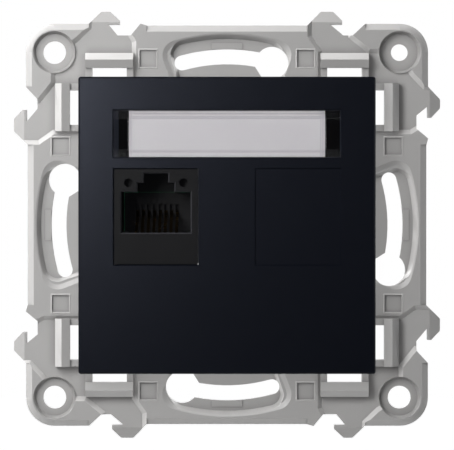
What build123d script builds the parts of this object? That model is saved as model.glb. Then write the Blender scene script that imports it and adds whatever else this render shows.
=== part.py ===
from build123d import *
from math import cos, radians, sin, tan
import os

# Flush data socket: a hooked support frame, a module carrier snapped into it, a centre
# plate with a label field, one modular jack and one blanked place.
# Millimetres, +Z up. The wall plane is Y = 0 and the socket looks towards -Y. A height is
# a distance in front of the wall, so whatever stands in the wall box has a height below 0.
# The origin is the middle of the support frame's back face.

# Support frame: overall form
frame_side = 71.0
frame_thickness = 3.0
hook_plate_thickness = 2.2
edge_bevel_width = 1.1
edge_bevel_drop = 0.7
opening_side = 44.5
opening_corner = 3.0

# Support frame: corner pads and their holes
corner_hole_pitch = 61.5
corner_pad_radius = 5.05
corner_hole_radius = 2.05
guide_hole_radius = 1.5
guide_corner = 1
hole_recess_radius = 3.75
hole_recess_floor = 1.5
guide_recess_floor = 1.0

# Support frame: gang hooks, measured along the side from its middle
hook_reach = 2.5
hook_tip_thickness = 0.7
hook_undercut = 0.2
hook_head_slope_start = 0.6
hook_head_drop = 1.2
hook_corner_rounding = 0.5
notch_depth = 1.75
first_hook_foot = 24.6
first_hook_head = (22.4, 20.8)
first_hook_tip = 19.1
first_hook_root = 21.1
first_notch = (19.5, 17.1)
first_ramp_top = 15.4
ramp_lip = 0.3
second_hook_foot = 14.3
second_hook_head = (16.7, 18.9)
second_hook_tip = 20.5
second_hook_root = 18.4
second_notch = (20.7, 22.4)
second_ramp_top = 24.6

# Support frame: lower plate round the inside of a corner pad
low_step = 0.6
low_step_slant = 45.0
pad_neck = (24.9, 35.3)
pad_waist = (27.0, 33.3)
pad_flank = 31.35
pad_flank_span = (26.95, 25.4)
mid_shoulder = 33.4

# Support frame: curved slots for the box screws
box_screw_pitch = 60.0
slot_width = 2.7
slot_narrow_end = 14.0
keyhole_angle = 15.5
keyhole_radius = 2.9
trough_radius = 33.9
trough_half_angle = 19.0
trough_corner = 2.8
trough_slant = 22.0
trough_floor = 1.2
trough_band = 0.25
trough_band_angle = 2.2
trough_band_drop = 0.35
trough_band_slant = 68.0
keyhole_slant = 3.3
trough_pad_length = 5.5
trough_pad_width = 1.1
trough_pad_height = 0.2

# Support frame: snap loops for the cover frame, and the small square recesses
loop_place = 20.9
loop_length = 8.5
loop_width = 2.65
loop_inner_edge = 27.9
loop_height = 5.2
loop_bevel = 1.2
loop_inner_drop = 0.3
loop_leg_width = 1.15
loop_leg_height = 4.2
loop_window_end = 24.2
loop_catch_depth = 1.4
loop_catch_height = 3.0
loop_end_gap = 0.5
recess_place = (14.0, 29.6)
recess_side = 3.0
recess_depth = 0.5

# Centre plate
plate_side = 52.3
plate_height = 10.0
plate_wall = 2.0
plate_skirt = 1.6
plate_corner = 0.45
plate_bevel = 0.3
plate_seat_gap = 0.4
plate_leg_thickness = 1.3
plate_leg_width = 6.0
plate_leg_place = 16.5
plate_leg_end = 1.0
plate_barb = 0.7
plate_barb_length = 1.3

# Label pocket, clear strip and card
label_length = 40.0
label_height = 8.3
label_centre = 16.1
label_pocket_depth = 1.7
label_pocket_floor = 0.8
label_pocket_wall = 0.8
strip_clearance = 0.1
strip_thickness = 1.3
strip_field_length = 34.8
strip_cut_height = 5.4
strip_bevel_width = 1.1
strip_bevel_drop = 0.5
strip_nib = 0.35
strip_nib_length = 1.2
strip_nib_thickness = 0.5
card_thickness = 0.3
card_margin = 0.15

# Module places
place_pitch = 25.0
place_centre = 1.5
window_width = 14.9
window_height = 16.9
window_bevel = 0.15
blank_depth = 0.45

# Module carrier
carrier_flange_side = 47.0
carrier_flange_corner = 1.5
carrier_flange_thickness = 1.2
carrier_flange_lip = 39.8
carrier_clearance = 0.15
carrier_wall = 1.3
carrier_floor_thickness = 1.4
carrier_barb = 0.6
carrier_barb_height = 0.9
carrier_barb_length = 4.0
carrier_barb_place = 13.8
carrier_seat_height = 1.0
bay_wall = 1.2
bay_front_gap = 0.1
bay_above = 1.45
bay_below = 3.15
ledge_low = 3.0
ledge_high = 4.6
ledge_gap = 0.1

# Jack housing
jack_clearance = 0.1
jack_setback = 0.6
jack_rear = -8.0
port_width = 12.2
port_bottom = -2.8
port_top = 4.35
latch_wide = 6.5
latch_narrow = 4.3
latch_middle_top = 6.0
latch_top = 7.65
port_depth = 13.55
port_lip = 1.5
port_bevel = 0.2
latch_pocket_depth = 10.0
indicator_hole_radius = 0.78
indicator_hole_depth = 3.0
indicator_place = (4.85, 6.0)
hook_ridge = 0.85
hook_ridge_front = 1.0
hook_ridge_rear = 1.3
lever_gap = 0.95
lever_thickness = 1.0
lever_width = 7.0
lever_front = 6.2
lever_root_length = 2.2
lever_tooth = 0.9
lever_tooth_length = 1.3
stop_rim_reach = 0.85
stop_rim_thickness = 1.4

# Contact carrier and contacts
contact_count = 8
contact_pitch = 1.016
contact_width = 0.5
contact_thickness = 0.35
contact_tail_depth = 1.8
contact_bend_radius = 0.9
contact_bend_inset = 2.55
contact_rise_angle = 20.0
contact_tip_inset = 0.85
contact_slot_width = 0.62
chamber_width = 10.6
chamber_bottom = -7.3
chamber_wall = 1.65
comb_width = 11.9
comb_slot_depth = 1.3
comb_slot_top = 2.2
inner_clearance = 0.05
solder_tail = 0.6

# Circuit board
board_width = 14.2
board_height = 16.0
board_thickness = 1.6
board_step = 1.0
board_hole_radius = 0.42

# Rear terminals
block_width = 14.2
block_height = 15.0
block_depth = 8.4
terminal_column = 5.0
terminal_pitch = 3.4
terminal_rows = 4
blade_width = 2.4
blade_thickness = 0.5
blade_length = 6.6
blade_slit = 0.42
blade_slit_depth = 3.6
blade_pocket_clearance = 0.1
pin_width = 0.6
conductor_slot_width = 1.3
conductor_slot_depth = 4.9
conductor_slot_inner = 2.4
cable_channel_width = 4.4
cable_channel_depth = 5.2

# Termination cap
cap_clearance = 0.15
cap_wall = 0.9
cap_roof = 1.3
cap_overlap = 5.0
cap_headroom = 1.4
cap_notch_width = 1.7
cap_cable_radius = 3.3
cap_corner = 1.2
cap_grip_ribs = 4
cap_grip_pitch = 1.0
cap_grip_width = 0.5
cap_grip_height = 0.4

# Values that follow from those above
half_side = frame_side / 2
hole_place = corner_hole_pitch / 2
pad_edge = hole_place + corner_pad_radius
hook_top = half_side + hook_reach
hook_under = half_side + hook_undercut
notch_floor = half_side - notch_depth
slot_radius = box_screw_pitch / 2
keyhole = (
    slot_radius * sin(radians(keyhole_angle)),
    slot_radius * cos(radians(keyhole_angle)),
)
trough_inner = opening_side / 2 - 1
loop_outer_edge = loop_inner_edge + loop_width
loop_window_length = loop_length - 2 * loop_leg_width
loop_window_reach = loop_inner_edge - loop_window_end
loop_window_middle = (loop_inner_edge + loop_window_end) / 2
jack_x = -place_pitch / 2
jack_width = window_width - 2 * jack_clearance
jack_height = window_height - 2 * jack_clearance
jack_top = jack_height / 2
jack_bottom = -jack_height / 2
plate_back = loop_leg_height + plate_seat_gap
plate_under = plate_height - plate_wall
pocket_back = plate_height - label_pocket_depth - label_pocket_floor
bay_front = pocket_back - bay_front_gap
jack_front = plate_height - jack_setback
carrier_back = -carrier_floor_thickness
plate_leg_outer = carrier_flange_lip / 2 - carrier_clearance
strip_length = label_length - 2 * strip_clearance
strip_height = label_height - 2 * strip_clearance
strip_rail_pitch = (strip_height + strip_cut_height) / 2
carrier_rim_side = opening_side - 2 * carrier_clearance
carrier_inner_side = carrier_rim_side - 2 * carrier_wall
carrier_seat_reach = carrier_barb + 2 * carrier_clearance
bay_top = window_height / 2 + bay_above
bay_bottom = -window_height / 2 - bay_below
bay_height = bay_top - bay_bottom
bay_shift = (bay_top + bay_bottom) / 2
ledge_reach_top = bay_top - jack_top - ledge_gap
lever_outer = jack_bottom - lever_gap - lever_thickness
ledge_reach_bottom = lever_outer - ledge_gap - bay_bottom
conductor_slot_length = block_width / 2 - conductor_slot_inner
conductor_slot_pitch = block_width - conductor_slot_length
board_front = jack_rear - board_step
board_back = board_front - board_thickness
block_back = board_back - block_depth
port_floor = jack_front - port_depth
chamber_front = jack_front - chamber_wall
contact_bend_place = chamber_front - contact_bend_inset
contact_end = port_floor - contact_tip_inset
contact_tail = port_bottom - contact_tail_depth
groove_floor = contact_tail - contact_thickness / 2
groove_front = contact_bend_place + contact_bend_radius + contact_thickness / 2 + inner_clearance
contact_roof = contact_tail_depth - contact_thickness - 2 * inner_clearance
contact_places = [contact_pitch * (i - (contact_count - 1) / 2) for i in range(contact_count)]
contact_rise = radians(contact_rise_angle)
contact_run = contact_bend_place + contact_bend_radius * sin(contact_rise) - contact_end
contact_reach = contact_run / cos(contact_rise)


def front(height):
    """Plane parallel to the wall at a height in front of it, seen as from the room."""
    return Plane.XZ.offset(height)


def side_plane(side, height):
    """Plane parallel to the wall: local X runs clockwise along a side, local Y out of it."""
    turn = radians(-90 * side)
    return Plane(origin=(0, -height, 0), x_dir=(cos(turn), 0, sin(turn)), z_dir=(0, -1, 0))


def side_section(side, along):
    """Plane across a side: local X points out of it, local Y is the height off the wall."""
    flat = side_plane(side, 0)
    return Plane(origin=flat.x_dir * along, x_dir=flat.y_dir, z_dir=flat.x_dir)


def side_planes(height):
    """The plane at a height, once for each of the four sides."""
    return [side_plane(side, height) for side in range(4)]


def side_sections(along):
    """The plane across a side, once for each of the four sides."""
    return [side_section(side, along) for side in range(4)]


def on_side(side, along, out):
    """Point of the wall plane given along and out of a side."""
    turn = radians(-90 * side)
    return (along * cos(turn) - out * sin(turn), along * sin(turn) + out * cos(turn))


def place_plane(place, height):
    """Plane parallel to the wall with its origin at a module place, -1 left or 1 right."""
    return Plane(
        origin=(place * place_pitch / 2, -height, place_centre),
        x_dir=(1, 0, 0),
        z_dir=(0, -1, 0),
    )


def jack_section(across):
    """Upright plane through the jack: local X is Y, local Y is the height over its middle."""
    return Plane(origin=(jack_x + across, 0, place_centre), x_dir=(0, 1, 0), z_dir=(1, 0, 0))


# One side of the support frame, clockwise from corner to corner: the first hook points
# into its notch, the straight middle follows, and the second hook points at the next pad.
side_outline = [
    (-hole_place, pad_edge),
    (-first_hook_foot, pad_edge),
    (-first_hook_head[0], hook_top),
    (-first_hook_head[1], hook_top),
    (-first_hook_tip, hook_under + hook_tip_thickness),
    (-first_hook_tip, hook_under),
    (-first_hook_root, hook_under),
    (-first_notch[0], notch_floor),
    (-first_notch[1], notch_floor),
    (-first_ramp_top, half_side + ramp_lip),
    (-second_hook_foot, half_side),
    (second_hook_foot, half_side),
    (second_hook_head[0], hook_top),
    (second_hook_head[1], hook_top),
    (second_hook_tip, hook_under + hook_tip_thickness),
    (second_hook_tip, hook_under),
    (second_hook_root, hook_under),
    (second_notch[0], notch_floor),
    (second_notch[1], notch_floor),
    (second_ramp_top, pad_edge),
    (hole_place, pad_edge),
]
corner_middle = hole_place + corner_pad_radius * cos(radians(45))

# The lower plate that carries the hooks and the loops, wrapped round the inside of a
# corner pad. The first points lie on the side that follows the corner clockwise.
loop_foot = loop_place - loop_length / 2
low_edge = loop_foot - loop_end_gap
beyond = hook_top + 1
low_outline = [
    (-low_edge, trough_inner),
    (-low_edge, notch_floor - 1),
    (-first_notch[1], notch_floor + low_step),
    (-first_notch[1], beyond),
    (-pad_neck[0], beyond),
    (-pad_neck[0], pad_neck[1]),
    (-pad_waist[0], pad_waist[1]),
    (-hole_place, hole_place),
    (-pad_flank, pad_flank_span[0]),
    (-pad_flank, pad_flank_span[1]),
    (-notch_floor, second_notch[1]),
    (-beyond, second_notch[1]),
    (-beyond, second_hook_foot),
    (-mid_shoulder, second_hook_foot),
    (-hole_place, low_edge),
    (-trough_inner, low_edge),
    (-trough_inner, trough_inner),
]


def bevel_points(edge):
    """Section of the bevel along an outer edge of the frame."""
    return [
        (edge - edge_bevel_width, frame_thickness),
        (edge, frame_thickness),
        (edge, frame_thickness - edge_bevel_drop),
    ]


with BuildPart() as support_frame:
    with BuildSketch(front(0)) as outline:
        with BuildLine():
            for side in range(4):
                Polyline(*[on_side(side, *point) for point in side_outline])
                ThreePointArc(
                    on_side(side, hole_place, pad_edge),
                    on_side(side, corner_middle, corner_middle),
                    on_side(side, pad_edge, hole_place),
                )
        make_face()
        heads = outline.vertices().filter_by(
            lambda corner: max(abs(corner.X), abs(corner.Y)) > hook_top - 0.01
        )
        fillet(heads, hook_corner_rounding)
        RectangleRounded(opening_side, opening_side, opening_corner, mode=Mode.SUBTRACT)
    extrude(amount=frame_thickness)
    with BuildSketch(*side_planes(frame_thickness)):
        Polygon(*low_outline, align=None)
    extrude(
        amount=hook_plate_thickness - frame_thickness,
        taper=low_step_slant,
        mode=Mode.SUBTRACT,
    )
    # Sloped outer faces of the hook heads
    with BuildSketch(*side_sections(-hole_place)):
        Polygon(
            (half_side + hook_head_slope_start, hook_plate_thickness),
            (beyond, hook_plate_thickness),
            (beyond, hook_plate_thickness - hook_head_drop),
            align=None,
        )
    extrude(amount=corner_hole_pitch, mode=Mode.SUBTRACT)
    # Bevels along the straight middles of the sides and round the corner pads
    for start, end, edge in (
        (-second_hook_foot, second_hook_foot, half_side),
        (-hole_place, -first_hook_foot, pad_edge),
        (second_ramp_top, hole_place, pad_edge),
    ):
        with BuildSketch(*side_sections(start)):
            Polygon(*bevel_points(edge), align=None)
        extrude(amount=end - start, mode=Mode.SUBTRACT)
    for side in range(4):
        with BuildSketch(side_section(side, hole_place)):
            Polygon(*bevel_points(pad_edge), align=None)
        corner = side_plane(side, 0).from_local_coords((hole_place, hole_place, 0))
        revolve(axis=Axis(corner, (0, -1, 0)), revolution_arc=-90, mode=Mode.SUBTRACT)
    # Rebates in the back, where the module carrier's snap ridges catch
    with BuildSketch(*side_planes(0)):
        seat_middle = (carrier_rim_side + carrier_seat_reach) / 2
        with Locations((-carrier_barb_place, seat_middle), (carrier_barb_place, seat_middle)):
            Rectangle(carrier_barb_length + 2 * carrier_clearance, carrier_seat_reach)
    extrude(amount=carrier_seat_height, mode=Mode.SUBTRACT)
    # Troughs round the curved slots, each with its raised pad
    with BuildSketch(*side_planes(frame_thickness)) as trough:
        with BuildLine():
            rim = CenterArc((0, 0), trough_radius, 90 - trough_half_angle, 2 * trough_half_angle)
            trough_foot = trough_inner * tan(radians(trough_half_angle))
            Polyline(rim @ 1, (-trough_foot, trough_inner), (trough_foot, trough_inner), rim @ 0)
        make_face()
        fillet(trough.vertices().sort_by(Axis.Y)[-2:], trough_corner)
    extrude(amount=trough_floor - frame_thickness, taper=trough_slant, mode=Mode.SUBTRACT)
    with BuildSketch(*side_planes(frame_thickness)) as trough_rim:
        with BuildLine():
            wide = CenterArc(
                (0, 0),
                trough_radius + trough_band,
                90 - trough_half_angle - trough_band_angle,
                2 * (trough_half_angle + trough_band_angle),
            )
            band_foot = trough_inner * tan(radians(trough_half_angle + trough_band_angle))
            Polyline(wide @ 1, (-band_foot, trough_inner), (band_foot, trough_inner), wide @ 0)
        make_face()
        fillet(trough_rim.vertices().sort_by(Axis.Y)[-2:], trough_corner)
    extrude(amount=-trough_band_drop, taper=trough_band_slant, mode=Mode.SUBTRACT)
    with BuildSketch(*side_planes(trough_floor)):
        with Locations((0, slot_radius + slot_width / 2 + trough_pad_width / 2)):
            Rectangle(trough_pad_length, trough_pad_width)
    extrude(amount=trough_pad_height)
    # Curved slots with their keyhole ends and the slanted way into them
    with BuildSketch(*side_planes(0)):
        SlotArc(
            CenterArc((0, 0), slot_radius, 90 - keyhole_angle, keyhole_angle + slot_narrow_end),
            slot_width,
        )
        with Locations(keyhole):
            Circle(keyhole_radius)
        Polygon(
            (keyhole[0] - keyhole_slant, slot_radius - slot_width / 2),
            (keyhole[0] - keyhole_slant / 2, keyhole[1] - keyhole_radius),
            (keyhole[0], keyhole[1] - keyhole_radius),
            keyhole,
            align=None,
        )
    extrude(amount=frame_thickness, mode=Mode.SUBTRACT)
    # Corner holes in their recesses; one corner has a smaller guide hole, set deeper
    for side in range(4):
        guide = side == guide_corner
        recess_floor = guide_recess_floor if guide else hole_recess_floor
        middle = side_plane(side, frame_thickness).from_local_coords((-hole_place, hole_place, 0))
        with Locations(Plane(origin=middle, z_dir=(0, -1, 0))):
            CounterBoreHole(
                guide_hole_radius if guide else corner_hole_radius,
                hole_recess_radius,
                frame_thickness - recess_floor,
            )
    with BuildSketch(*side_planes(frame_thickness)):
        with Locations((-recess_place[0], recess_place[1]), recess_place):
            Rectangle(recess_side, recess_side)
    extrude(amount=-recess_depth, mode=Mode.SUBTRACT)
    # Snap loops: a bar on two legs, a window through the plate and a catch behind the bar
    bar_starts = (-loop_place - loop_length / 2, loop_place - loop_length / 2)
    with BuildSketch(*side_sections(bar_starts[0]), *side_sections(bar_starts[1])):
        Polygon(
            (loop_inner_edge, hook_plate_thickness),
            (loop_outer_edge, hook_plate_thickness),
            (loop_outer_edge, loop_height - loop_bevel),
            (loop_outer_edge - loop_bevel, loop_height),
            (loop_inner_edge, loop_height - loop_inner_drop),
            align=None,
        )
    extrude(amount=loop_length)
    with BuildSketch(*side_planes(hook_plate_thickness)):
        with Locations((-loop_place, loop_window_middle), (loop_place, loop_window_middle)):
            with GridLocations(loop_length - loop_leg_width, 0, 2, 1):
                Rectangle(loop_leg_width, loop_window_reach)
    extrude(amount=loop_leg_height - hook_plate_thickness)
    with BuildSketch(*side_planes(0)):
        with Locations((-loop_place, loop_window_middle), (loop_place, loop_window_middle)):
            Rectangle(loop_window_length, loop_window_reach)
    extrude(amount=loop_height, mode=Mode.SUBTRACT)
    with BuildSketch(*side_planes(0)):
        catch_middle = loop_inner_edge + loop_catch_depth / 2
        with Locations((-loop_place, catch_middle), (loop_place, catch_middle)):
            Rectangle(loop_window_length, loop_catch_depth)
    extrude(amount=loop_catch_height, mode=Mode.SUBTRACT)
support_frame.part.label = "support_frame"

with BuildPart() as centre_plate:
    with BuildSketch(front(plate_back)):
        RectangleRounded(plate_side, plate_side, plate_corner)
    extrude(amount=plate_height - plate_back)
    chamfer(centre_plate.faces().sort_by(Axis.Y)[0].outer_wire().edges(), plate_bevel)
    with BuildSketch(front(plate_back)):
        Rectangle(plate_side - 2 * plate_skirt, plate_side - 2 * plate_skirt)
    extrude(amount=plate_under - plate_back, mode=Mode.SUBTRACT)
    # Label pocket: a shallow box behind the front, open to the room
    with BuildSketch(front(pocket_back)):
        with Locations((0, label_centre)):
            Rectangle(label_length + 2 * label_pocket_wall, label_height + 2 * label_pocket_wall)
    extrude(amount=plate_under - pocket_back)
    with BuildSketch(front(plate_height)):
        with Locations((0, label_centre)):
            Rectangle(label_length, label_height)
    extrude(amount=-label_pocket_depth, mode=Mode.SUBTRACT)
    # Grooves in the pocket's ends for the clear strip's nibs
    nib_height = plate_height - strip_thickness
    with BuildSketch(front(nib_height - strip_clearance)):
        with Locations((0, label_centre)):
            with GridLocations(0, strip_rail_pitch, 1, 2):
                Rectangle(
                    label_length + 2 * strip_nib,
                    strip_nib_length + 2 * strip_clearance,
                )
    extrude(amount=strip_nib_thickness + 2 * strip_clearance, mode=Mode.SUBTRACT)
    # Window for the fitted jack, and the shallow blanked place beside it
    with BuildSketch(place_plane(-1, plate_height)):
        Rectangle(window_width, window_height)
    extrude(amount=-plate_wall, mode=Mode.SUBTRACT)
    with BuildSketch(place_plane(1, plate_height)):
        Rectangle(window_width, window_height)
    extrude(amount=-blank_depth, mode=Mode.SUBTRACT)
    for wire in centre_plate.faces().sort_by(Axis.Y)[0].inner_wires():
        chamfer(wire.edges(), window_bevel)
    # Four snap legs that catch under the module carrier's flange
    for side in (1, 3):
        for along in (-plate_leg_place, plate_leg_place):
            with BuildSketch(side_section(side, along - plate_leg_width / 2)):
                Polygon(
                    (plate_leg_outer - plate_leg_thickness, plate_under),
                    (plate_leg_outer, plate_under),
                    (plate_leg_outer, frame_thickness - ledge_gap),
                    (plate_leg_outer + plate_barb, frame_thickness - ledge_gap),
                    (plate_leg_outer, frame_thickness - ledge_gap - plate_barb_length),
                    (plate_leg_outer, plate_leg_end),
                    (plate_leg_outer - plate_leg_thickness, plate_leg_end),
                    align=None,
                )
            extrude(amount=plate_leg_width)
centre_plate.part.label = "centre_plate"

with BuildPart() as label_window:
    strip_back = plate_height - strip_thickness
    with BuildSketch(front(strip_back)):
        with Locations((0, label_centre)):
            Rectangle(strip_length, strip_height)
    extrude(amount=strip_thickness)
    # Bevels along both long edges
    for hand in (-1, 1):
        edge = label_centre + hand * strip_height / 2
        with BuildSketch(Plane.YZ.offset(-strip_length / 2)):
            Polygon(
                (-plate_height, edge),
                (-plate_height, edge - hand * strip_bevel_width),
                (-plate_height + strip_bevel_drop, edge),
                align=None,
            )
        extrude(amount=strip_length, mode=Mode.SUBTRACT)
    # Cut-outs at both ends, where a blade lifts the strip out
    cut_length = (strip_length - strip_field_length) / 2
    with BuildSketch(front(strip_back)):
        with Locations((0, label_centre)):
            with GridLocations(strip_length - cut_length, 0, 2, 1):
                Rectangle(cut_length, strip_cut_height)
    extrude(amount=strip_thickness, mode=Mode.SUBTRACT)
    with BuildSketch(front(strip_back)):
        with Locations((0, label_centre)):
            with GridLocations(strip_length + strip_nib, strip_rail_pitch, 2, 2):
                Rectangle(strip_nib, strip_nib_length)
    extrude(amount=strip_nib_thickness)
label_window.part.label = "label_window"

with BuildPart() as label_card:
    with BuildSketch(front(plate_height - label_pocket_depth)):
        with Locations((0, label_centre)):
            Rectangle(strip_field_length - 2 * card_margin, label_height - 2 * card_margin)
    extrude(amount=card_thickness)
label_card.part.label = "label_card"

with BuildPart() as module_carrier:
    with BuildSketch(front(frame_thickness)):
        RectangleRounded(carrier_flange_side, carrier_flange_side, carrier_flange_corner)
    extrude(amount=carrier_flange_thickness)
    with BuildSketch(front(carrier_back)):
        RectangleRounded(carrier_rim_side, carrier_rim_side, opening_corner)
    extrude(amount=frame_thickness - carrier_back)
    with BuildSketch(front(0)):
        Rectangle(carrier_inner_side, carrier_inner_side)
    extrude(amount=frame_thickness, mode=Mode.SUBTRACT)
    with BuildSketch(front(frame_thickness)):
        Rectangle(carrier_flange_lip, carrier_flange_lip)
    extrude(amount=carrier_flange_thickness, mode=Mode.SUBTRACT)
    for place in (-1, 1):
        with BuildSketch(place_plane(place, carrier_back)):
            with Locations((0, bay_shift)):
                Rectangle(window_width + 2 * bay_wall, bay_height + 2 * bay_wall)
        extrude(amount=bay_front - carrier_back)
    for place in (-1, 1):
        with BuildSketch(place_plane(place, carrier_back)):
            with Locations((0, bay_shift)):
                Rectangle(window_width, bay_height)
        extrude(amount=bay_front - carrier_back, mode=Mode.SUBTRACT)
        with BuildSketch(place_plane(place, ledge_low)):
            with Locations((0, bay_top - ledge_reach_top / 2)):
                Rectangle(window_width, ledge_reach_top)
            with Locations((0, bay_bottom + ledge_reach_bottom / 2)):
                Rectangle(window_width, ledge_reach_bottom)
        extrude(amount=ledge_high - ledge_low)
    # Snap ridges, two on each side, that catch in the support frame's rebates
    for along in (-carrier_barb_place, carrier_barb_place):
        with BuildSketch(*side_sections(along - carrier_barb_length / 2)):
            Polygon(
                (carrier_rim_side / 2 - carrier_wall, carrier_seat_height),
                (carrier_rim_side / 2 + carrier_barb, carrier_seat_height),
                (carrier_rim_side / 2, carrier_seat_height - carrier_barb_height),
                (carrier_rim_side / 2 - carrier_wall, carrier_seat_height - carrier_barb_height),
                align=None,
            )
        extrude(amount=carrier_barb_length)
module_carrier.part.label = "module_carrier"

with BuildPart() as jack_housing:
    with BuildSketch(place_plane(-1, jack_rear)):
        Rectangle(jack_width, jack_height)
    extrude(amount=jack_front - jack_rear)
    # Stepped plug opening with its latch notch on top
    with BuildSketch(place_plane(-1, jack_front)):
        with Locations((0, (port_bottom + port_top) / 2)):
            Rectangle(port_width, port_top - port_bottom)
        with Locations((0, (port_top + latch_middle_top) / 2)):
            Rectangle(latch_wide, latch_middle_top - port_top)
        with Locations((0, (latch_middle_top + latch_top) / 2)):
            Rectangle(latch_narrow, latch_top - latch_middle_top)
    extrude(amount=-port_depth, mode=Mode.SUBTRACT)
    rims = jack_housing.faces().sort_by(Axis.Y)[0].inner_wires()[0].edges()
    chamfer(rims, port_bevel)
    # The latch notch widens behind the front wall, so that the plug's latch catches there
    with BuildSketch(place_plane(-1, jack_front - port_lip)):
        with Locations((0, (port_top + latch_top) / 2)):
            Rectangle(latch_wide, latch_top - port_top)
    extrude(amount=-latch_pocket_depth, mode=Mode.SUBTRACT)
    with BuildSketch(place_plane(-1, jack_front)):
        with Locations((-indicator_place[0], indicator_place[1]), indicator_place):
            Circle(indicator_hole_radius)
    extrude(amount=-indicator_hole_depth, mode=Mode.SUBTRACT)
    # Chamber under the plug for the contact carrier, and the way in for it from behind
    with BuildSketch(place_plane(-1, chamber_front)):
        with Locations((0, (chamber_bottom + port_bottom) / 2)):
            Rectangle(chamber_width, port_bottom - chamber_bottom)
    extrude(amount=jack_rear - chamber_front, mode=Mode.SUBTRACT)
    with BuildSketch(place_plane(-1, port_floor)):
        with Locations((0, (port_bottom + port_top) / 2)):
            Rectangle(port_width, port_top - port_bottom)
    extrude(amount=jack_rear - port_floor, mode=Mode.SUBTRACT)
    # Fixed hook on top: two ridges with the carrier's ledge between them
    with BuildSketch(place_plane(-1, ledge_high + ledge_gap)):
        with Locations((0, jack_top + hook_ridge / 2)):
            Rectangle(jack_width, hook_ridge)
    extrude(amount=hook_ridge_front)
    with BuildSketch(place_plane(-1, ledge_low - ledge_gap)):
        with Locations((0, jack_top + hook_ridge / 2)):
            Rectangle(jack_width, hook_ridge)
    extrude(amount=-hook_ridge_rear)
    # Rim under the front that stops behind the centre plate
    with BuildSketch(place_plane(-1, plate_under - jack_clearance)):
        with Locations((0, jack_bottom - stop_rim_reach / 2)):
            Rectangle(jack_width, stop_rim_reach)
    extrude(amount=-stop_rim_thickness)
    # Spring lever below, rooted at the back, with its tooth in front of the other ledge
    with BuildSketch(jack_section(-lever_width / 2)):
        Polygon(
            (-jack_rear, jack_bottom),
            (-jack_rear - lever_root_length, jack_bottom),
            (-jack_rear - lever_root_length, jack_bottom - lever_gap),
            (-lever_front, jack_bottom - lever_gap),
            (-lever_front, lever_outer),
            (-ledge_high - ledge_gap - lever_tooth_length, lever_outer),
            (-ledge_high - ledge_gap, lever_outer - lever_tooth),
            (-ledge_high - ledge_gap, lever_outer),
            (-jack_rear, lever_outer),
            align=None,
        )
    extrude(amount=lever_width)
jack_housing.part.label = "jack_housing"

with BuildPart() as contact_carrier:
    with BuildSketch(jack_section(-(chamber_width / 2 - inner_clearance))):
        Polygon(
            (-chamber_front + inner_clearance, chamber_bottom + inner_clearance),
            (-board_front, chamber_bottom + inner_clearance),
            (-board_front, port_bottom - inner_clearance),
            (-chamber_front + inner_clearance, port_bottom - inner_clearance),
            align=None,
        )
    extrude(amount=chamber_width - 2 * inner_clearance)
    with BuildSketch(jack_section(-comb_width / 2)):
        Polygon(
            (-port_floor + inner_clearance, port_bottom + inner_clearance),
            (-board_front, port_bottom + inner_clearance),
            (-board_front, port_top - inner_clearance),
            (-port_floor + inner_clearance, port_top - inner_clearance),
            align=None,
        )
    extrude(amount=comb_width)
    with BuildSketch(jack_section(-(chamber_width / 2 - inner_clearance))):
        Polygon(
            (-port_floor + inner_clearance, port_bottom - inner_clearance),
            (-board_front, port_bottom - inner_clearance),
            (-board_front, port_bottom + inner_clearance),
            (-port_floor + inner_clearance, port_bottom + inner_clearance),
            align=None,
        )
    extrude(amount=chamber_width - 2 * inner_clearance)
    for across in contact_places:
        with BuildSketch(jack_section(across - contact_slot_width / 2)):
            Polygon(
                (-groove_front, groove_floor),
                (-board_front, groove_floor),
                (-board_front, port_bottom - inner_clearance - contact_roof),
                (-port_floor + comb_slot_depth, port_bottom - inner_clearance - contact_roof),
                (-port_floor + comb_slot_depth, comb_slot_top),
                (-port_floor, comb_slot_top),
                (-port_floor, port_bottom + inner_clearance),
                (-groove_front, port_bottom + inner_clearance),
                align=None,
            )
        extrude(amount=contact_slot_width, mode=Mode.SUBTRACT)
contact_carrier.part.label = "contact_carrier"

contact_wires = []
for number, across in enumerate(contact_places, start=1):
    with BuildPart() as contact_wire:
        with BuildSketch(jack_section(across - contact_width / 2)):
            with BuildLine() as path:
                tail = Line((-board_back + solder_tail, contact_tail), (-contact_bend_place, contact_tail))
                bend = CenterArc(
                    (-contact_bend_place, contact_tail + contact_bend_radius),
                    contact_bend_radius,
                    -90,
                    -(180 - contact_rise_angle),
                )
                PolarLine(bend @ 1, contact_reach, contact_rise_angle)
            trace(line_width=contact_thickness)
        extrude(amount=contact_width)
    contact_wire.part.label = f"contact_wire_{number}"
    contact_wires.append(contact_wire)

with BuildPart() as circuit_board:
    with BuildSketch(place_plane(-1, board_back)):
        Rectangle(board_width, board_height)
        with Locations(*[(across, contact_tail) for across in contact_places]):
            Circle(board_hole_radius, mode=Mode.SUBTRACT)
        with GridLocations(2 * terminal_column, terminal_pitch, 2, terminal_rows):
            Circle(board_hole_radius, mode=Mode.SUBTRACT)
    extrude(amount=board_thickness)
circuit_board.part.label = "circuit_board"

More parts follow.
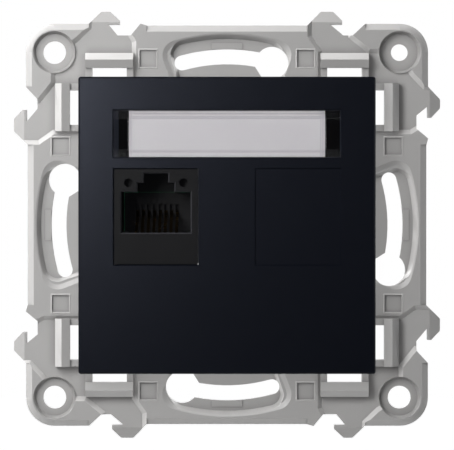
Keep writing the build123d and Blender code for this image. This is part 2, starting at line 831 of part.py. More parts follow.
with BuildPart() as idc_block:
    with BuildSketch(place_plane(-1, block_back)):
        Rectangle(block_width, block_height)
    extrude(amount=block_depth)
    with BuildSketch(place_plane(-1, block_back)):
        Rectangle(cable_channel_width, block_height)
    extrude(amount=cable_channel_depth, mode=Mode.SUBTRACT)
    # Conductor slots from both sides, and the pockets that hold the blades
    with BuildSketch(place_plane(-1, block_back)):
        with GridLocations(conductor_slot_pitch, terminal_pitch, 2, terminal_rows):
            Rectangle(conductor_slot_length, conductor_slot_width)
    extrude(amount=conductor_slot_depth, mode=Mode.SUBTRACT)
    with BuildSketch(place_plane(-1, block_back)):
        with GridLocations(2 * terminal_column, terminal_pitch, 2, terminal_rows):
            Rectangle(
                blade_thickness + 2 * blade_pocket_clearance,
                blade_width + 2 * blade_pocket_clearance,
            )
    extrude(amount=block_depth, mode=Mode.SUBTRACT)
    # Room behind the board for the ends of the contacts
    with BuildSketch(place_plane(-1, board_back)):
        with Locations((0, contact_tail)):
            Rectangle(contact_pitch * contact_count, 4 * contact_thickness)
    extrude(amount=-2 * solder_tail, mode=Mode.SUBTRACT)
idc_block.part.label = "idc_block"

idc_contacts = []
number = 0
for column in (-terminal_column, terminal_column):
    for row in range(terminal_rows):
        number += 1
        level = (row - (terminal_rows - 1) / 2) * terminal_pitch
        with BuildPart() as idc_contact:
            with BuildSketch(jack_section(column - blade_thickness / 2)):
                with Locations((-board_back + blade_length / 2, level)):
                    Rectangle(blade_length, blade_width)
                with Locations((-board_back - board_thickness / 2, level)):
                    Rectangle(board_thickness, pin_width)
                with Locations((-board_back + blade_length - blade_slit_depth / 2, level)):
                    Rectangle(blade_slit_depth, blade_slit, mode=Mode.SUBTRACT)
            extrude(amount=blade_thickness)
        idc_contact.part.label = f"idc_contact_{number}"
        idc_contacts.append(idc_contact)

with BuildPart() as termination_cap:
    cap_width = block_width + 2 * (cap_clearance + cap_wall)
    cap_height = block_height + 2 * (cap_clearance + cap_wall)
    cap_back = block_back - cap_headroom - cap_roof
    cap_depth = cap_overlap + cap_headroom + cap_roof
    with BuildSketch(place_plane(-1, cap_back)):
        RectangleRounded(cap_width, cap_height, cap_corner)
    extrude(amount=cap_depth)
    chamfer(termination_cap.faces().sort_by(Axis.Y)[-1].outer_wire().edges(), cap_wall / 2)
    with BuildSketch(place_plane(-1, cap_back + cap_depth)):
        Rectangle(cap_width - 2 * cap_wall, cap_height - 2 * cap_wall)
    extrude(amount=-(cap_overlap + cap_headroom), mode=Mode.SUBTRACT)
    # Ribs under the roof seat on the block between the conductor slots
    with BuildSketch(place_plane(-1, block_back)):
        with GridLocations(2 * terminal_column, terminal_pitch, 2, terminal_rows - 1):
            Rectangle(terminal_column / 2, cap_wall)
    extrude(amount=-cap_headroom)
    # Notches in both sides for the conductors, and the cable's way in through the roof
    with BuildSketch(place_plane(-1, cap_back + cap_depth)):
        with GridLocations(cap_width - cap_wall, terminal_pitch, 2, terminal_rows):
            Rectangle(2 * cap_wall, cap_notch_width)
    extrude(amount=-cap_overlap, mode=Mode.SUBTRACT)
    with BuildSketch(place_plane(-1, cap_back)):
        Circle(cap_cable_radius)
    extrude(amount=cap_roof, mode=Mode.SUBTRACT)
    # Grip ribs across the back
    with BuildSketch(place_plane(-1, cap_back)):
        with GridLocations(0, cap_height / 2 + cap_cable_radius, 1, 2):
            with GridLocations(0, cap_grip_pitch, 1, cap_grip_ribs // 2):
                Rectangle(cap_width - 4 * cap_wall, cap_grip_width)
    extrude(amount=-cap_grip_height)
termination_cap.part.label = "termination_cap"

os.makedirs("parts", exist_ok=True)
pieces = [
    support_frame,
    module_carrier,
    centre_plate,
    label_window,
    label_card,
    jack_housing,
    contact_carrier,
    *contact_wires,
    circuit_board,
    idc_block,
    *idc_contacts,
    termination_cap,
]
for piece in pieces:
    export_step(piece.part, f"parts/{piece.part.label}.step")
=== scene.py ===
import math

import bmesh
import bpy
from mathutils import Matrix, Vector


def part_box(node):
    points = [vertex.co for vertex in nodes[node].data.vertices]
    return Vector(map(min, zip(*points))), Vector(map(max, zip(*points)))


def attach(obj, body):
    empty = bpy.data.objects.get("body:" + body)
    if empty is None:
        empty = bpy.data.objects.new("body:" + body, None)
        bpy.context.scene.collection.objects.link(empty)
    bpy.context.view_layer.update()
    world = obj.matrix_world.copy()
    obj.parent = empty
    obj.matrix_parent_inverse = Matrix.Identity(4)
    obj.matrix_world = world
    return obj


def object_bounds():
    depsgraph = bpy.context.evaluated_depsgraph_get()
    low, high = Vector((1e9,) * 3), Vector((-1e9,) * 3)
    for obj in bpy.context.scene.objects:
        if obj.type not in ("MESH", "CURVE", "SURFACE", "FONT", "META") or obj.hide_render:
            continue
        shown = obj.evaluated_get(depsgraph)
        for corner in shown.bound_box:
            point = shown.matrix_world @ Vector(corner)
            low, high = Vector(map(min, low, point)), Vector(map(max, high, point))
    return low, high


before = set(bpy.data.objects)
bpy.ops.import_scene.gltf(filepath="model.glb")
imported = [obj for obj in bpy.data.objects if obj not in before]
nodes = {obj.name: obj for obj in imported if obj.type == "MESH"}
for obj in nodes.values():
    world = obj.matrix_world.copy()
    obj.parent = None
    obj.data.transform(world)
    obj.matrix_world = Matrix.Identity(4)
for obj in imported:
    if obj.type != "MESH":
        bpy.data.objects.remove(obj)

cad_box = [list(corner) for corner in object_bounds()]
scene = bpy.context.scene
scene.view_settings.view_transform = "Standard"

# The camera: a long lens straight in front of the socket, a touch above its middle, so that
# the frame fills the picture as it does in a catalogue photograph.
MM = 0.001               # the frame is in metres, small sizes are given in millimetres
view_distance = 0.6
view_rise = math.radians(0.6)
picture_width = 454
pixels_per_metre = 5620.0
sensor_width = 36.0
frame_front = -3.0
aim = Vector((0.0, frame_front * MM, 0.0))

camera_data = bpy.data.cameras.new("camera")
camera_data.sensor_width = sensor_width
camera_data.lens = sensor_width * view_distance * pixels_per_metre / picture_width
camera = bpy.data.objects.new("camera", camera_data)
camera.location = aim + view_distance * Vector((0.0, -math.cos(view_rise), math.sin(view_rise)))
camera.rotation_euler = (aim - camera.location).to_track_quat("-Z", "Y").to_euler()
scene.collection.objects.link(camera)
scene.camera = camera


# The lamps: a small softbox up on the left, whose light falls off across the dark plate; two
# strips and a fill that light the frame and its bevels without shadow or gloss; a weak card
# that opens the right side; and two softboxes for the back.
def soft_lamp(name, place, size, power, shadow=True):
    """Softbox that faces the socket (metres, watts); without a shadow it isn't in the gloss."""
    data = bpy.data.lights.new(name, "AREA")
    data.shape = "RECTANGLE"
    data.size, data.size_y = size
    data.energy = power
    data.use_shadow = shadow
    lamp = bpy.data.objects.new(name, data)
    lamp.location = place
    lamp.rotation_euler = (-Vector(place)).to_track_quat("-Z", "Y").to_euler()
    lamp.visible_camera = False
    lamp.visible_glossy = shadow
    scene.collection.objects.link(lamp)


soft_lamp("key_softbox", (-0.104, -0.236, 0.082), (0.115, 0.155), 0.43)
soft_lamp("left_strip", (-0.25, -0.02, 0.14), (0.10, 0.20), 0.45, shadow=False)
soft_lamp("overhead_strip", (-0.12, -0.02, 0.25), (0.20, 0.10), 0.48, shadow=False)
soft_lamp("front_fill", (-0.21, -0.26, 0.18), (0.20, 0.20), 0.47, shadow=False)
soft_lamp("right_card", (0.5, -0.25, -0.15), (0.3, 0.4), 0.06)
soft_lamp("rear_left_softbox", (-0.45, 0.45, 0.25), (0.3, 0.3), 2.6)
soft_lamp("rear_right_softbox", (0.50, 0.30, 0.15), (0.3, 0.3), 2.2)


# The surround: dim grey all round, and a white paper backdrop behind the socket, which the
# lens, the gloss of the pieces and the clear window see.
def feed(tree, entry, value):
    """Link a socket to a node's input, or write a plain value there."""
    if isinstance(value, bpy.types.NodeSocket):
        tree.links.new(value, entry)
    else:
        entry.default_value = value


def calculate(tree, operation, *terms):
    """Result of one Math node."""
    math_node = tree.nodes.new("ShaderNodeMath")
    math_node.operation = operation
    for entry, term in zip(math_node.inputs, terms):
        feed(tree, entry, term)
    return math_node.outputs[0]


def ramp(tree, value, low, high, bottom=0.0, top=1.0, smooth=False):
    """Result of one Map Range node: `bottom` at the value `low`, `top` at `high`."""
    slope = tree.nodes.new("ShaderNodeMapRange")
    slope.interpolation_type = "SMOOTHSTEP" if smooth else "LINEAR"
    entries = {"Value": value, "From Min": low, "From Max": high, "To Min": bottom, "To Max": top}
    for entry, given in entries.items():
        feed(tree, slope.inputs[entry], given)
    return slope.outputs["Result"]


def split(tree, vector):
    """The three parts of a vector."""
    parts = tree.nodes.new("ShaderNodeSeparateXYZ")
    feed(tree, parts.inputs[0], vector)
    return parts.outputs["X"], parts.outputs["Y"], parts.outputs["Z"]


def backdrop_rays(tree, directed, full_white=0.5):
    """Share of white a ray sees: all for the lens, the backdrop's side for gloss and glass."""
    rays = tree.nodes.new("ShaderNodeLightPath")
    glossy, transmitted = rays.outputs["Is Glossy Ray"], rays.outputs["Is Transmission Ray"]
    bounced = calculate(tree, "MAXIMUM", glossy, transmitted)
    if directed:
        heading = tree.nodes.new("ShaderNodeTexCoord")
        backwards = split(tree, heading.outputs["Generated"])[1]
        behind = ramp(tree, backwards, low=0.0, high=full_white, smooth=True)
        bounced = calculate(tree, "MULTIPLY", bounced, behind)
    return calculate(tree, "MAXIMUM", rays.outputs["Is Camera Ray"], bounced)


surround = bpy.data.worlds.new("studio_surround")
scene.world = surround
surround.use_nodes = True
tree = surround.node_tree
tree.nodes.clear()
studio_grey = tree.nodes.new("ShaderNodeBackground")
studio_grey.inputs["Color"].default_value = (0.032, 0.034, 0.037, 1.0)
paper_white = tree.nodes.new("ShaderNodeBackground")
paper_white.inputs["Color"].default_value = (1.0, 1.0, 1.0, 1.0)
seen_paper = tree.nodes.new("ShaderNodeMixShader")
world_out = tree.nodes.new("ShaderNodeOutputWorld")
tree.links.new(backdrop_rays(tree, True), seen_paper.inputs[0])
tree.links.new(studio_grey.outputs[0], seen_paper.inputs[1])
tree.links.new(paper_white.outputs[0], seen_paper.inputs[2])
tree.links.new(seen_paper.outputs[0], world_out.inputs["Surface"])

# The floor: a sheet of the same white paper well below the socket. It ends a little way in
# front of it and gloss doesn't see it, so that the dark plate and its edges don't mirror it.
floor_drop = 0.24
floor_half = 2.0
floor_front = -0.35
floor_level = cad_box[0][2] - floor_drop
floor_mesh = bpy.data.meshes.new("floor")
floor_mesh.from_pydata(
    [
        (-floor_half, floor_front, floor_level),
        (floor_half, floor_front, floor_level),
        (floor_half, 2 * floor_half, floor_level),
        (-floor_half, 2 * floor_half, floor_level),
    ],
    [], [(0, 1, 2, 3)],
)
floor = bpy.data.objects.new("floor", floor_mesh)
scene.collection.objects.link(floor)
floor_paper = bpy.data.materials.new("floor_paper")
floor_paper.use_nodes = True
tree = floor_paper.node_tree
tree.nodes.clear()
matt = tree.nodes.new("ShaderNodeBsdfDiffuse")
matt.inputs["Color"].default_value = (0.8, 0.8, 0.8, 1.0)
glow = tree.nodes.new("ShaderNodeEmission")
glow.inputs["Color"].default_value = (0.98, 0.98, 0.98, 1.0)
tree.links.new(backdrop_rays(tree, False), glow.inputs["Strength"])
both = tree.nodes.new("ShaderNodeAddShader")
floor_out = tree.nodes.new("ShaderNodeOutputMaterial")
tree.links.new(matt.outputs[0], both.inputs[0])
tree.links.new(glow.outputs[0], both.inputs[1])
tree.links.new(both.outputs[0], floor_out.inputs["Surface"])
floor_mesh.materials.append(floor_paper)
floor.visible_glossy = False

# Support frame: one injection moulding in light grey polycarbonate, screwed to the wall box.
# Its skin is the fine spark-eroded texture of the tool; the tool's edges leave a small radius.
# Painted shade darkens it where its own walls stand close, in its corners and recesses.
cloud_scale = 55.0
patch_scale = 420.0
bump_height = 0.02
# Share of the paler colour painted on slanted edges as a highlight.
edge_highlight_share = 0.9
flat_face = 0.99
slanted_face = 0.80
weld_gap = 0.002
sharp_edge = math.radians(30.0)
# The painted shade in the frame's corners and recesses: how far it looks, how much, its colour.
shade_reach = 2.0
shade_share = 0.5
open_corner = 0.95
closed_corner = 0.45
shade_colour = (0.10, 0.098, 0.098, 1.0)


def blend(tree, share, first, second, kind="RGBA", way="MIX"):
    """Result of one Mix node: `first` at share 0, `second` at share 1."""
    mixer = tree.nodes.new("ShaderNodeMix")
    mixer.data_type = kind
    mixer.blend_type = way
    for entry, given in {"Factor": share, "A": first, "B": second}.items():
        feed(tree, mixer.inputs[entry], given)
    return mixer.outputs["Result"]


def empty_group(name, inputs, outputs):
    """Node group with these sockets, given by name and kind, and its two end nodes."""
    group = bpy.data.node_groups.new(name, "ShaderNodeTree")
    for side, sockets in (("INPUT", inputs), ("OUTPUT", outputs)):
        for socket, kind in sockets.items():
            group.interface.new_socket(socket, in_out=side, socket_type="NodeSocket" + kind)
    return group, group.nodes.new("NodeGroupInput"), group.nodes.new("NodeGroupOutput")


def skin_group():
    """Fine tool texture of a moulding: colour clouds, uneven gloss and a grain."""
    group, inside, outside = empty_group(
        "moulded_skin",
        {
            "Colour": "Color", "Cloud Colour": "Color", "Grain Size": "Float",
            "Grain Depth": "Float", "Gloss Low": "Float", "Gloss High": "Float",
        },
        {"Colour": "Color", "Roughness": "Float", "Normal": "Vector"},
    )
    given = inside.outputs
    place = group.nodes.new("ShaderNodeTexCoord")

    def noise(scale, detail):
        """Noise that stays with the piece."""
        texture = group.nodes.new("ShaderNodeTexNoise")
        entries = {"Vector": place.outputs["Object"], "Scale": scale, "Detail": detail}
        for entry, value in entries.items():
            feed(group, texture.inputs[entry], value)
        return texture.outputs["Fac"]

    clouds = noise(cloud_scale, detail=3.0)
    tint = blend(group, clouds, given["Colour"], given["Cloud Colour"])
    patches = noise(patch_scale, detail=4.0)
    gloss = ramp(
        group, patches, low=0.3, high=0.7, bottom=given["Gloss Low"], top=given["Gloss High"]
    )
    bump = group.nodes.new("ShaderNodeBump")
    bump.inputs["Distance"].default_value = bump_height * MM
    feed(group, bump.inputs["Strength"], given["Grain Depth"])
    feed(group, bump.inputs["Height"], noise(given["Grain Size"], detail=2.0))
    feed(group, outside.inputs["Colour"], tint)
    feed(group, outside.inputs["Roughness"], gloss)
    feed(group, outside.inputs["Normal"], bump.outputs["Normal"])
    return group


def edge_group():
    """Colour with the slanted and rounded faces painted paler than the flats, as a highlight."""
    group, inside, outside = empty_group(
        "painted_edge_highlight", {"Colour": "Color", "Highlight Colour": "Color"}, {"Colour": "Color"}
    )
    facing = group.nodes.new("ShaderNodeTexCoord")
    size = group.nodes.new("ShaderNodeVectorMath")
    size.operation = "ABSOLUTE"
    feed(group, size.inputs[0], facing.outputs["Normal"])
    size_x, size_y, size_z = split(group, size.outputs[0])
    widest = calculate(group, "MAXIMUM", calculate(group, "MAXIMUM", size_x, size_y), size_z)
    slanted = ramp(group, widest, flat_face, slanted_face, top=edge_highlight_share)
    tint = blend(group, slanted, inside.outputs["Colour"], inside.outputs["Highlight Colour"])
    feed(group, outside.inputs["Colour"], tint)
    return group


moulded_skin = skin_group()
painted_edge_highlight = edge_group()


def moulding(name, colour, cloud, grain=(6000.0, 0.35), gloss=(0.36, 0.46), edge=None):
    """Material of one moulded piece: its resin's colour in the shared tool texture.

    `grain` is the texture's size and depth, `gloss` the lowest and the highest roughness,
    and `edge` the paler colour painted on slanted faces as an edge highlight.
    """
    paint = bpy.data.materials.new(name)
    paint.use_nodes = True
    tree = paint.node_tree
    skin = tree.nodes.new("ShaderNodeGroup")
    skin.name = "skin"
    skin.node_tree = moulded_skin
    entries = {
        "Colour": (*colour, 1.0), "Cloud Colour": (*cloud, 1.0),
        "Grain Size": grain[0], "Grain Depth": grain[1],
        "Gloss Low": gloss[0], "Gloss High": gloss[1],
    }
    for entry, value in entries.items():
        feed(tree, skin.inputs[entry], value)
    shown = skin.outputs["Colour"]
    if edge:
        highlighted = tree.nodes.new("ShaderNodeGroup")
        highlighted.node_tree = painted_edge_highlight
        feed(tree, highlighted.inputs["Highlight Colour"], (*edge, 1.0))
        feed(tree, highlighted.inputs["Colour"], shown)
        shown = highlighted.outputs["Colour"]
    shader = tree.nodes["Principled BSDF"]
    feed(tree, shader.inputs["Base Color"], shown)
    feed(tree, shader.inputs["Roughness"], skin.outputs["Roughness"])
    feed(tree, shader.inputs["Normal"], skin.outputs["Normal"])
    shader.inputs["IOR"].default_value = 1.5
    return paint


def finish_node(node, paint, rounding=0.0):
    """Gives a CAD node its material and, where it has one, the small radius of its edges."""
    piece = nodes[node]
    piece.data.materials.clear()
    piece.data.materials.append(paint)
    if rounding:
        weld = piece.modifiers.new("weld", "WELD")
        weld.merge_threshold = weld_gap * MM
        bevel = piece.modifiers.new("edge_radius", "BEVEL")
        bevel.width = rounding * MM
        bevel.segments = 2
        bevel.limit_method = "ANGLE"
        bevel.angle_limit = sharp_edge
        bevel.harden_normals = True


# Its slanted edges take a paler colour: a painted edge highlight.
frame_resin = moulding(
    "frame_resin", (0.375, 0.368, 0.362), (0.41, 0.402, 0.396), edge=(0.58, 0.57, 0.562)
)
tree = frame_resin.node_tree
frame_colour = tree.nodes["Principled BSDF"].inputs["Base Color"]
# Painted shade: the resin is darkened where the frame's own walls crowd a surface.
crowd = tree.nodes.new("ShaderNodeAmbientOcclusion")
crowd.only_local = True
crowd.samples = 12
crowd.inputs["Distance"].default_value = shade_reach * MM
painted_shade = ramp(tree, crowd.outputs["AO"], open_corner, closed_corner, top=shade_share)
unshaded_colour = frame_colour.links[0].from_socket
feed(tree, frame_colour, blend(tree, painted_shade, unshaded_colour, shade_colour))
finish_node("support_frame", frame_resin, rounding=0.12)


# Ejector pin marks: discs with a thin raised rim on the frame's back, part of the moulding,
# left by the pins that push it out of the mould.
def add_ring(shape, middle, radius, level, steps):
    """Round of vertices about a middle (x, z), all in millimetres."""
    ring = []
    for step in range(steps):
        turn = 2 * math.pi * step / steps
        x = middle[0] + radius * math.cos(turn)
        z = middle[1] + radius * math.sin(turn)
        ring.append(shape.verts.new(Vector((x, level, z)) * MM))
    return ring


def join_rings(shape, rings):
    """Faces from each ring of vertices to the next."""
    for first, second in zip(rings, rings[1:]):
        for step in range(len(first)):
            after = (step + 1) % len(first)
            shape.faces.new((first[step], first[after], second[after], second[step]))


def new_piece(name, shape, paint):
    """Piece of its own, made of a finished shape."""
    bmesh.ops.recalc_face_normals(shape, faces=shape.faces)
    mesh = bpy.data.meshes.new(name)
    shape.to_mesh(mesh)
    shape.free()
    mesh.materials.append(paint)
    piece = bpy.data.objects.new(name, mesh)
    scene.collection.objects.link(piece)
    return piece


def pin_marks(name, node, places, radius, paint, proud=0.08, rim=0.2, steps=32):
    """Witness marks of the ejector pins on the back of a moulding, at places (x, z)."""
    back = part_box(node)[1][1] / MM
    profile = [
        (radius - 2 * rim, 0.5 * proud), (radius - rim, proud), (radius, 0.0), (radius, -proud),
    ]
    shape = bmesh.new()
    for middle in places:
        rings = [add_ring(shape, middle, reach, back + rise, steps) for reach, rise in profile]
        shape.faces.new(reversed(rings[0]))
        join_rings(shape, rings)
        shape.faces.new(rings[-1])
    piece = new_piece(name, shape, paint)
    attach(piece, "root")


frame_pin_radius = 1.5
corner_pin = (26.5, 27.0)
side_pin = (14.0, 28.0)
frame_pins = []
for sign_x in (-1, 1):
    for sign_z in (-1, 1):
        frame_pins.append((sign_x * corner_pin[0], sign_z * corner_pin[1]))
        frame_pins.append((sign_x * side_pin[0], sign_z * side_pin[1]))
        frame_pins.append((sign_x * side_pin[1], sign_z * side_pin[0]))
pin_marks(
    "frame_pin_marks", "support_frame", frame_pins, frame_pin_radius, frame_resin
)

# Recess rims: a low rim round each of the frame's eight square recesses, part of the
# moulding, left where the mould's square inserts end.
rim_places = [(-14.0, 29.6), (14.0, 29.6)]
rim_seat = 0.1
rim_proud = 0.08
rim_profile = [          # half width, and level from the frame's face
    (1.51, rim_seat), (1.51, -0.03), (1.58, -rim_proud), (1.65, -rim_proud), (1.76, 0.0),
    (1.76, rim_seat),
]
square_corners = [(-1, -1), (1, -1), (1, 1), (-1, 1)]
shape = bmesh.new()
for quarter in range(4):
    spin = math.radians(90 * quarter)
    for x, z in rim_places:
        squares = []
        for half, rise in rim_profile:
            square = []
            for side_x, side_z in square_corners:
                corner_x = x + side_x * half
                corner_z = z + side_z * half
                turned_x = corner_x * math.cos(spin) - corner_z * math.sin(spin)
                turned_z = corner_x * math.sin(spin) + corner_z * math.cos(spin)
                corner = Vector((turned_x, frame_front + rise, turned_z)) * MM
                square.append(shape.verts.new(corner))
            squares.append(square)
        join_rings(shape, squares + squares[:1])
recess_rims = new_piece("recess_rims", shape, frame_resin)
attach(recess_rims, "root")

# Recess walls: the drafted walls of the frame's four corner recesses, part of the moulding,
# which lean in towards the floor; the one round the guide hole goes deeper.
# A darker copy of the frame's resin: painted shade on the recesses' walls.
recess_shade_resin = moulding("recess_shade_resin", (0.30, 0.294, 0.29), (0.33, 0.323, 0.318))
wall_offset = 30.75
wall_radius = 3.74
wall_draft = 0.45
wall_lap = 0.02
wall_seat = 0.1
wall_steps = 64
# The level of each recess's floor, by the corner's side in x and z.
wall_floors = {(-1, -1): -1.5, (-1, 1): -1.5, (1, -1): -1.5, (1, 1): -1.0}
shape = bmesh.new()
for (side_x, side_z), recess_floor in wall_floors.items():
    middle = (side_x * wall_offset, side_z * wall_offset)
    profile = [
        (wall_radius, frame_front + wall_lap),
        (wall_radius - wall_draft, recess_floor - wall_lap),
        (wall_radius - wall_draft, recess_floor + wall_seat),
        (wall_radius, recess_floor + wall_seat),
    ]
    rings = [add_ring(shape, middle, reach, level, wall_steps) for reach, level in profile]
    join_rings(shape, rings + rings[:1])
recess_walls = new_piece("recess_walls", shape, recess_shade_resin)
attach(recess_walls, "root")

# Module carrier: a dark grey moulding that snaps into the frame from behind and holds the
# jack; only its back shows, behind the frame, with the marks of its own ejector pins.
carrier_resin = moulding("carrier_resin", (0.05, 0.052, 0.055), (0.06, 0.062, 0.065))
finish_node("module_carrier", carrier_resin, rounding=0.08)
carrier_pin_radius = 1.2
carrier_pins = [
    (-18.0, 17.0), (0.0, 17.5), (18.0, 17.0), (-18.0, -16.5), (0.0, -16.5), (18.0, -16.5),
    (0.0, 1.0),
]
pin_marks(
    "carrier_pin_marks", "module_carrier", carrier_pins, carrier_pin_radius, carrier_resin,
)

# Centre plate: an anthracite moulding with a thin satin lacquer, clipped over the carrier,
# with a pocket for the label strip and two places for jacks, one closed by its blank. The
# lacquer doesn't reach the pocket's floor, which is dull.
plate_lacquer = moulding(
    "plate_lacquer", (0.0016, 0.0021, 0.0042), (0.002, 0.0026, 0.0048),
    grain=(9000.0, 0.12), gloss=(0.248, 0.260),
)
pocket_mouth = -9.4 * MM
pocket_fade = 0.1 * MM
pocket_reach = 21.0 * MM
bare_roughness = 0.85
tree = plate_lacquer.node_tree
plate_shader = tree.nodes["Principled BSDF"]
plate_shader.inputs["Specular IOR Level"].default_value = 0.60
plate_shader.inputs["Specular Tint"].default_value = (0.76, 0.81, 1.0, 1.0)
lacquer_roughness = tree.nodes["skin"].outputs["Roughness"]
spot = tree.nodes.new("ShaderNodeTexCoord")
spot_x, spot_y, _ = split(tree, spot.outputs["Object"])
deep = ramp(tree, spot_y, pocket_mouth, pocket_mouth + pocket_fade)
inside = calculate(tree, "LESS_THAN", calculate(tree, "ABSOLUTE", spot_x), pocket_reach)
bare = calculate(tree, "MULTIPLY", deep, inside)
dull = blend(tree, bare, lacquer_roughness, bare_roughness, kind="FLOAT")
feed(tree, plate_shader.inputs["Roughness"], dull)
finish_node("centre_plate", plate_lacquer, rounding=0.04)
# The photographed loops beside the plate are evenly lit, so it casts no shadow on them.
nodes["centre_plate"].visible_shadow = False

# Label card: a strip of blank white paper, cut to the clear part of the window and slid in
# behind it. Thin dark lines on it are painted shade where the window's bevels lie over it.
card_paper = moulding(
    "card_paper", (0.405, 0.393, 0.402), (0.425, 0.413, 0.422),
    grain=(14000.0, 0.5), gloss=(0.75, 0.85),
)
card_low, card_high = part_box("label_card")
tree = card_paper.node_tree
spot = tree.nodes.new("ShaderNodeTexCoord")
spot_x, _, spot_z = split(tree, spot.outputs["Object"])
shade_lines = [        # axis it crosses, card edge, place from that edge, half width
    (spot_x, card_low[0], 0.36, 0.16),
    (spot_x, card_high[0], -0.36, 0.16),
    (spot_x, card_high[0], -0.72, 0.16),
    (spot_z, card_high[2], -0.62, 0.20),
    (spot_z, card_high[2], -1.22, 0.26),
    (spot_z, card_low[2], 1.05, 0.22),
]
shade_line_mask = 0.0
for along, edge, inset, half_width in shade_lines:
    off = calculate(tree, "SUBTRACT", along, edge + inset * MM)
    line = ramp(tree, calculate(tree, "ABSOLUTE", off), half_width * MM, 0.0, smooth=True)
    shade_line_mask = calculate(tree, "MAXIMUM", shade_line_mask, line)
# Painted shade: the card is darker along these lines, where the window's bevels lie over it.
line_shade = (0.72, 0.73, 0.74, 1.0)
card_colour = tree.nodes["skin"].outputs["Colour"]
card_shade = blend(tree, shade_line_mask, card_colour, line_shade, way="MULTIPLY")
feed(tree, tree.nodes["Principled BSDF"].inputs["Base Color"], card_shade)
finish_node("label_card", card_paper)

# Notch shades: two matt black pads on the pocket's floor, on either side of the card. They are
# painted shade: a dark sheet where the pocket's ends lie in shadow.
shade_pad_paint = moulding(
    "painted_notch_shade", (0.0016, 0.0016, 0.0018), (0.0022, 0.0022, 0.0024),
    grain=(5200.0, 0.8), gloss=(0.92, 1.0),
)
shade_pad_paint.node_tree.nodes["Principled BSDF"].inputs["Specular IOR Level"].default_value = 0.06
shade_pad_gap = 0.1 * MM
shade_pad_thickness = 0.2 * MM
shade_pad_rounding = 0.06 * MM
for name, side, width in (("notch_shade_left", -1, 1.7 * MM), ("notch_shade_right", 1, 2.5 * MM)):
    inner = card_high[0] + shade_pad_gap
    low = Vector((inner, card_high[1] - shade_pad_thickness, card_low[2]))
    high = Vector((inner + width, card_high[1], card_high[2]))
    shape = bmesh.new()
    bmesh.ops.create_cube(shape, size=1.0)
    for corner in shape.verts:
        for axis in range(3):
            middle = (low[axis] + high[axis]) / 2
            corner.co[axis] = middle + corner.co[axis] * (high[axis] - low[axis])
        corner.co.x *= side
    bmesh.ops.bevel(
        shape, geom=shape.edges[:], offset=shade_pad_rounding, segments=2, profile=0.5, affect="EDGES"
    )
    shade_pad = new_piece(name, shape, shade_pad_paint)
    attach(shade_pad, "root")

# Label window: a clear acrylic strip with a bevel along both long edges, pressed into the
# plate's pocket over the card.
clear_acrylic = moulding(
    "clear_acrylic", (0.95, 0.95, 0.96), (0.97, 0.97, 0.98),
    grain=(9000.0, 0.03), gloss=(0.08, 0.12),
)
acrylic_shader = clear_acrylic.node_tree.nodes["Principled BSDF"]
acrylic_shader.inputs["Transmission Weight"].default_value = 1.0
acrylic_shader.inputs["IOR"].default_value = 1.49
finish_node("label_window", clear_acrylic, rounding=0.05)
# Light reaches the card through the clear strip, so it casts no shadow either.
nodes["label_window"].visible_shadow = False

# Jack: a black glass-filled housing, latched into the carrier, with the comb that carries
# and spaces its eight contacts.
# Its slanted edges take a paler colour: a painted edge highlight.
jack_resin = moulding(
    "jack_resin", (0.004, 0.004, 0.0048), (0.006, 0.006, 0.0070),
    grain=(7000.0, 0.3), gloss=(0.36, 0.44), edge=(0.032, 0.032, 0.036),
)
jack_shader = jack_resin.node_tree.nodes["Principled BSDF"]
jack_shader.inputs["Specular IOR Level"].default_value = 0.18
finish_node("jack_housing", jack_resin, rounding=0.06)
finish_node("contact_carrier", jack_resin)

# Contact wires: eight phosphor bronze strips, gold plated over nickel, bent up in the port
# and soldered into the board with their tails.
contact_count = 8
gold_plating = moulding(
    "gold_plating", (0.62, 0.42, 0.16), (0.68, 0.47, 0.19),
    grain=(12000.0, 0.1), gloss=(0.20, 0.30),
)
gold_plating.node_tree.nodes["Principled BSDF"].inputs["Metallic"].default_value = 1.0
for number in range(1, contact_count + 1):
    finish_node(f"contact_wire_{number}", gold_plating)

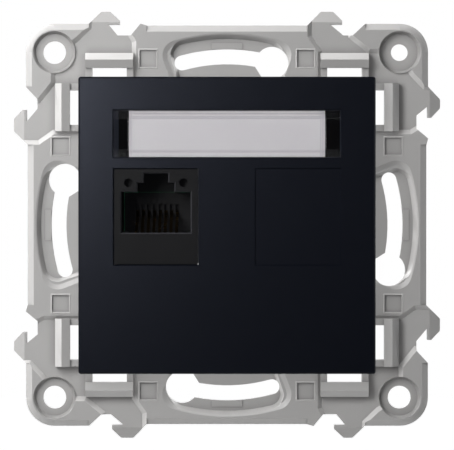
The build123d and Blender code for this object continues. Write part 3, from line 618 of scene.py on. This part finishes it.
# Circuit board: glass-fibre laminate under green solder resist, pinned between the jack and
# the terminal block; its cut edge shows the plies on the sides.
board_resist = moulding(
    "board_resist", (0.015, 0.10, 0.045), (0.02, 0.13, 0.06),
    grain=(5000.0, 0.2), gloss=(0.25, 0.35),
)
ply_scale = 1600.0
edge_limit = 0.5
dark_ply = (0.16, 0.20, 0.075, 1.0)
pale_ply = (0.27, 0.30, 0.13, 1.0)
tree = board_resist.node_tree
spot = tree.nodes.new("ShaderNodeTexCoord")
facing_back = calculate(tree, "ABSOLUTE", split(tree, spot.outputs["Normal"])[1])
cut_edge = calculate(tree, "LESS_THAN", facing_back, edge_limit)
plies = tree.nodes.new("ShaderNodeTexWave")
plies.wave_type = "BANDS"
plies.bands_direction = "Y"
plies.inputs["Scale"].default_value = ply_scale
plies.inputs["Distortion"].default_value = 1.5
plies.inputs["Detail"].default_value = 2.0
feed(tree, plies.inputs["Vector"], spot.outputs["Object"])
laminate = blend(tree, plies.outputs["Fac"], dark_ply, pale_ply)
board_colour = blend(tree, cut_edge, tree.nodes["skin"].outputs["Colour"], laminate)
feed(tree, tree.nodes["Principled BSDF"].inputs["Base Color"], board_colour)
finish_node("circuit_board", board_resist)

# Terminal block: a white moulding behind the board, with a slot for each of the cable's
# eight conductors.
block_resin = moulding("block_resin", (0.50, 0.49, 0.46), (0.54, 0.53, 0.50))
finish_node("idc_block", block_resin, rounding=0.05)

# Terminal blades: eight forked blades of tinned bronze that cut through a conductor's
# insulation as it is pressed down.
blade_tin = moulding(
    "blade_tin", (0.62, 0.62, 0.60), (0.68, 0.68, 0.66), grain=(9000.0, 0.2), gloss=(0.3, 0.45)
)
blade_tin.node_tree.nodes["Principled BSDF"].inputs["Metallic"].default_value = 1.0
for number in range(1, contact_count + 1):
    finish_node(f"idc_contact_{number}", blade_tin)

# Termination cap: a grey moulding that presses the conductors onto the blades and stays on
# as their cover, with grip ribs and a hole for the cable.
cap_resin = moulding("cap_resin", (0.14, 0.143, 0.148), (0.16, 0.163, 0.168))
finish_node("termination_cap", cap_resin, rounding=0.08)
